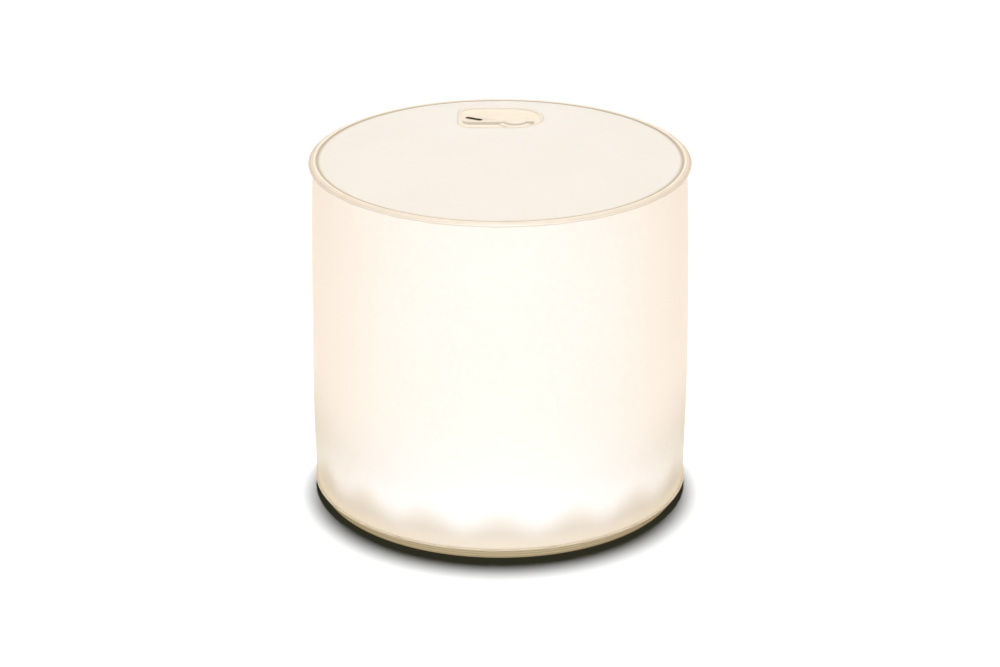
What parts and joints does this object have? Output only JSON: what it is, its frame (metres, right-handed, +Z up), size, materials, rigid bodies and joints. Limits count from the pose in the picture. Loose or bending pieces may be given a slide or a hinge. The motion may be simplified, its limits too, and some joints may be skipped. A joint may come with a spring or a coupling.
{
  "type": "inflatable solar camping lantern",
  "caption": "Blow-up frosted film cylinder with welded rims, a capped air valve in the top disc and a flat solar lamp housing in its foot; the body folds down flat.",
  "frame": {"origin": "centre of the resting face under the foot", "axes": "+Z up along the cylinder, -Y towards the front, +Y towards the air valve"},
  "size_m": [0.124, 0.1244, 0.1171],
  "materials": {
    "frosted_film": "frosted translucent film",
    "welded_film": "clear welded film",
    "clear_film": "clear gloss film",
    "valve_plastic": "soft clear plastic",
    "white_housing": "matte moulded",
    "white_sheet": "matte sheet",
    "clear_plastic": "diffusing clear",
    "lamp": "phosphor",
    "panel_glaze": "clear resin",
    "solar_cell": "dark blue silicon",
    "tinned_metal": "tinned",
    "board_laminate": "solder mask",
    "backing_laminate": "laminate",
    "chip_black": "moulded resin",
    "ferrite": "ferrite",
    "battery_pouch": "satin foil",
    "amber_tape": "tape",
    "foam": "foam",
    "wire_sleeve": "insulation",
    "connector_plastic": "moulded",
    "button_rubber": "matte",
    "switch_black": "moulded",
    "screw_steel": "zinc plated",
    "indicator": "clear lens"
  },
  "bodies": {
    "base": {"wall_film": "frosted_film", "wall_seam": "welded_film", "bottom_weld_ring": "welded_film", "base_window_film": "clear_film", "base_tray": "white_housing", "base_cover": "white_housing", "housing_screws": "screw_steel", "reflector_sheet": "white_sheet", "led_windows": "clear_plastic", "white_leds": "lamp", "solar_glaze": "panel_glaze", "solar_cells": "solar_cell", "cell_ribbons": "tinned_metal", "solar_backing": "backing_laminate", "panel_leads": "wire_sleeve", "foam_pad": "foam", "battery_cell": "battery_pouch", "battery_tape": "amber_tape", "battery_leads": "wire_sleeve", "battery_connector": "connector_plastic", "circuit_board": "board_laminate", "control_chip": "chip_black", "power_inductor": "ferrite", "chip_components": "chip_black", "tact_switches": "switch_black", "indicator_leds": "indicator", "light_pipes": "clear_plastic"},
    "top": {"top_film": "frosted_film", "top_weld_ring": "welded_film", "valve_flange": "valve_plastic"},
    "stem": {"valve_stem": "valve_plastic"},
    "cap": {"valve_cap": "valve_plastic"},
    "flap": {"check_flap": "valve_plastic"},
    "power": {"power_button": "button_rubber", "power_plunger": "switch_black"},
    "check": {"check_button": "button_rubber", "check_plunger": "switch_black"}
  },
  "joints": [
    {"name": "collapse", "type": "slide", "parent": "base", "child": "top", "axis": [0, 0, 1], "range_m": [-0.0905, 0], "stiffness_N_per_m": 150, "springref_m": 0.01, "deforming": ["wall_film", "wall_seam"]},
    {"name": "stem_pull", "type": "slide", "parent": "top", "child": "stem", "axis": [0, 0.0382, 0.9993], "range_m": [0, 0.005]},
    {"name": "cap_hinge", "type": "hinge", "parent": "stem", "child": "cap", "pos_m": [0.0108, 0.03223, 0.11689], "axis": [0, 0.9993, -0.0382], "range_deg": [0, 150]},
    {"name": "flap_hinge", "type": "hinge", "parent": "stem", "child": "flap", "pos_m": [0.0016, 0.03189, 0.10784], "axis": [0, 0.9993, -0.0382], "range_deg": [0, 35], "stiffness_Nm_per_rad": 0.00002, "springref_deg": -11.46},
    {"name": "power_press", "type": "slide", "parent": "base", "child": "power", "axis": [0, 0, 1], "range_m": [0, 0.0006], "stiffness_N_per_m": 800, "springref_m": -0.0005},
    {"name": "check_press", "type": "slide", "parent": "base", "child": "check", "axis": [0, 0, 1], "range_m": [0, 0.0006], "stiffness_N_per_m": 800, "springref_m": -0.0005}
  ]
}
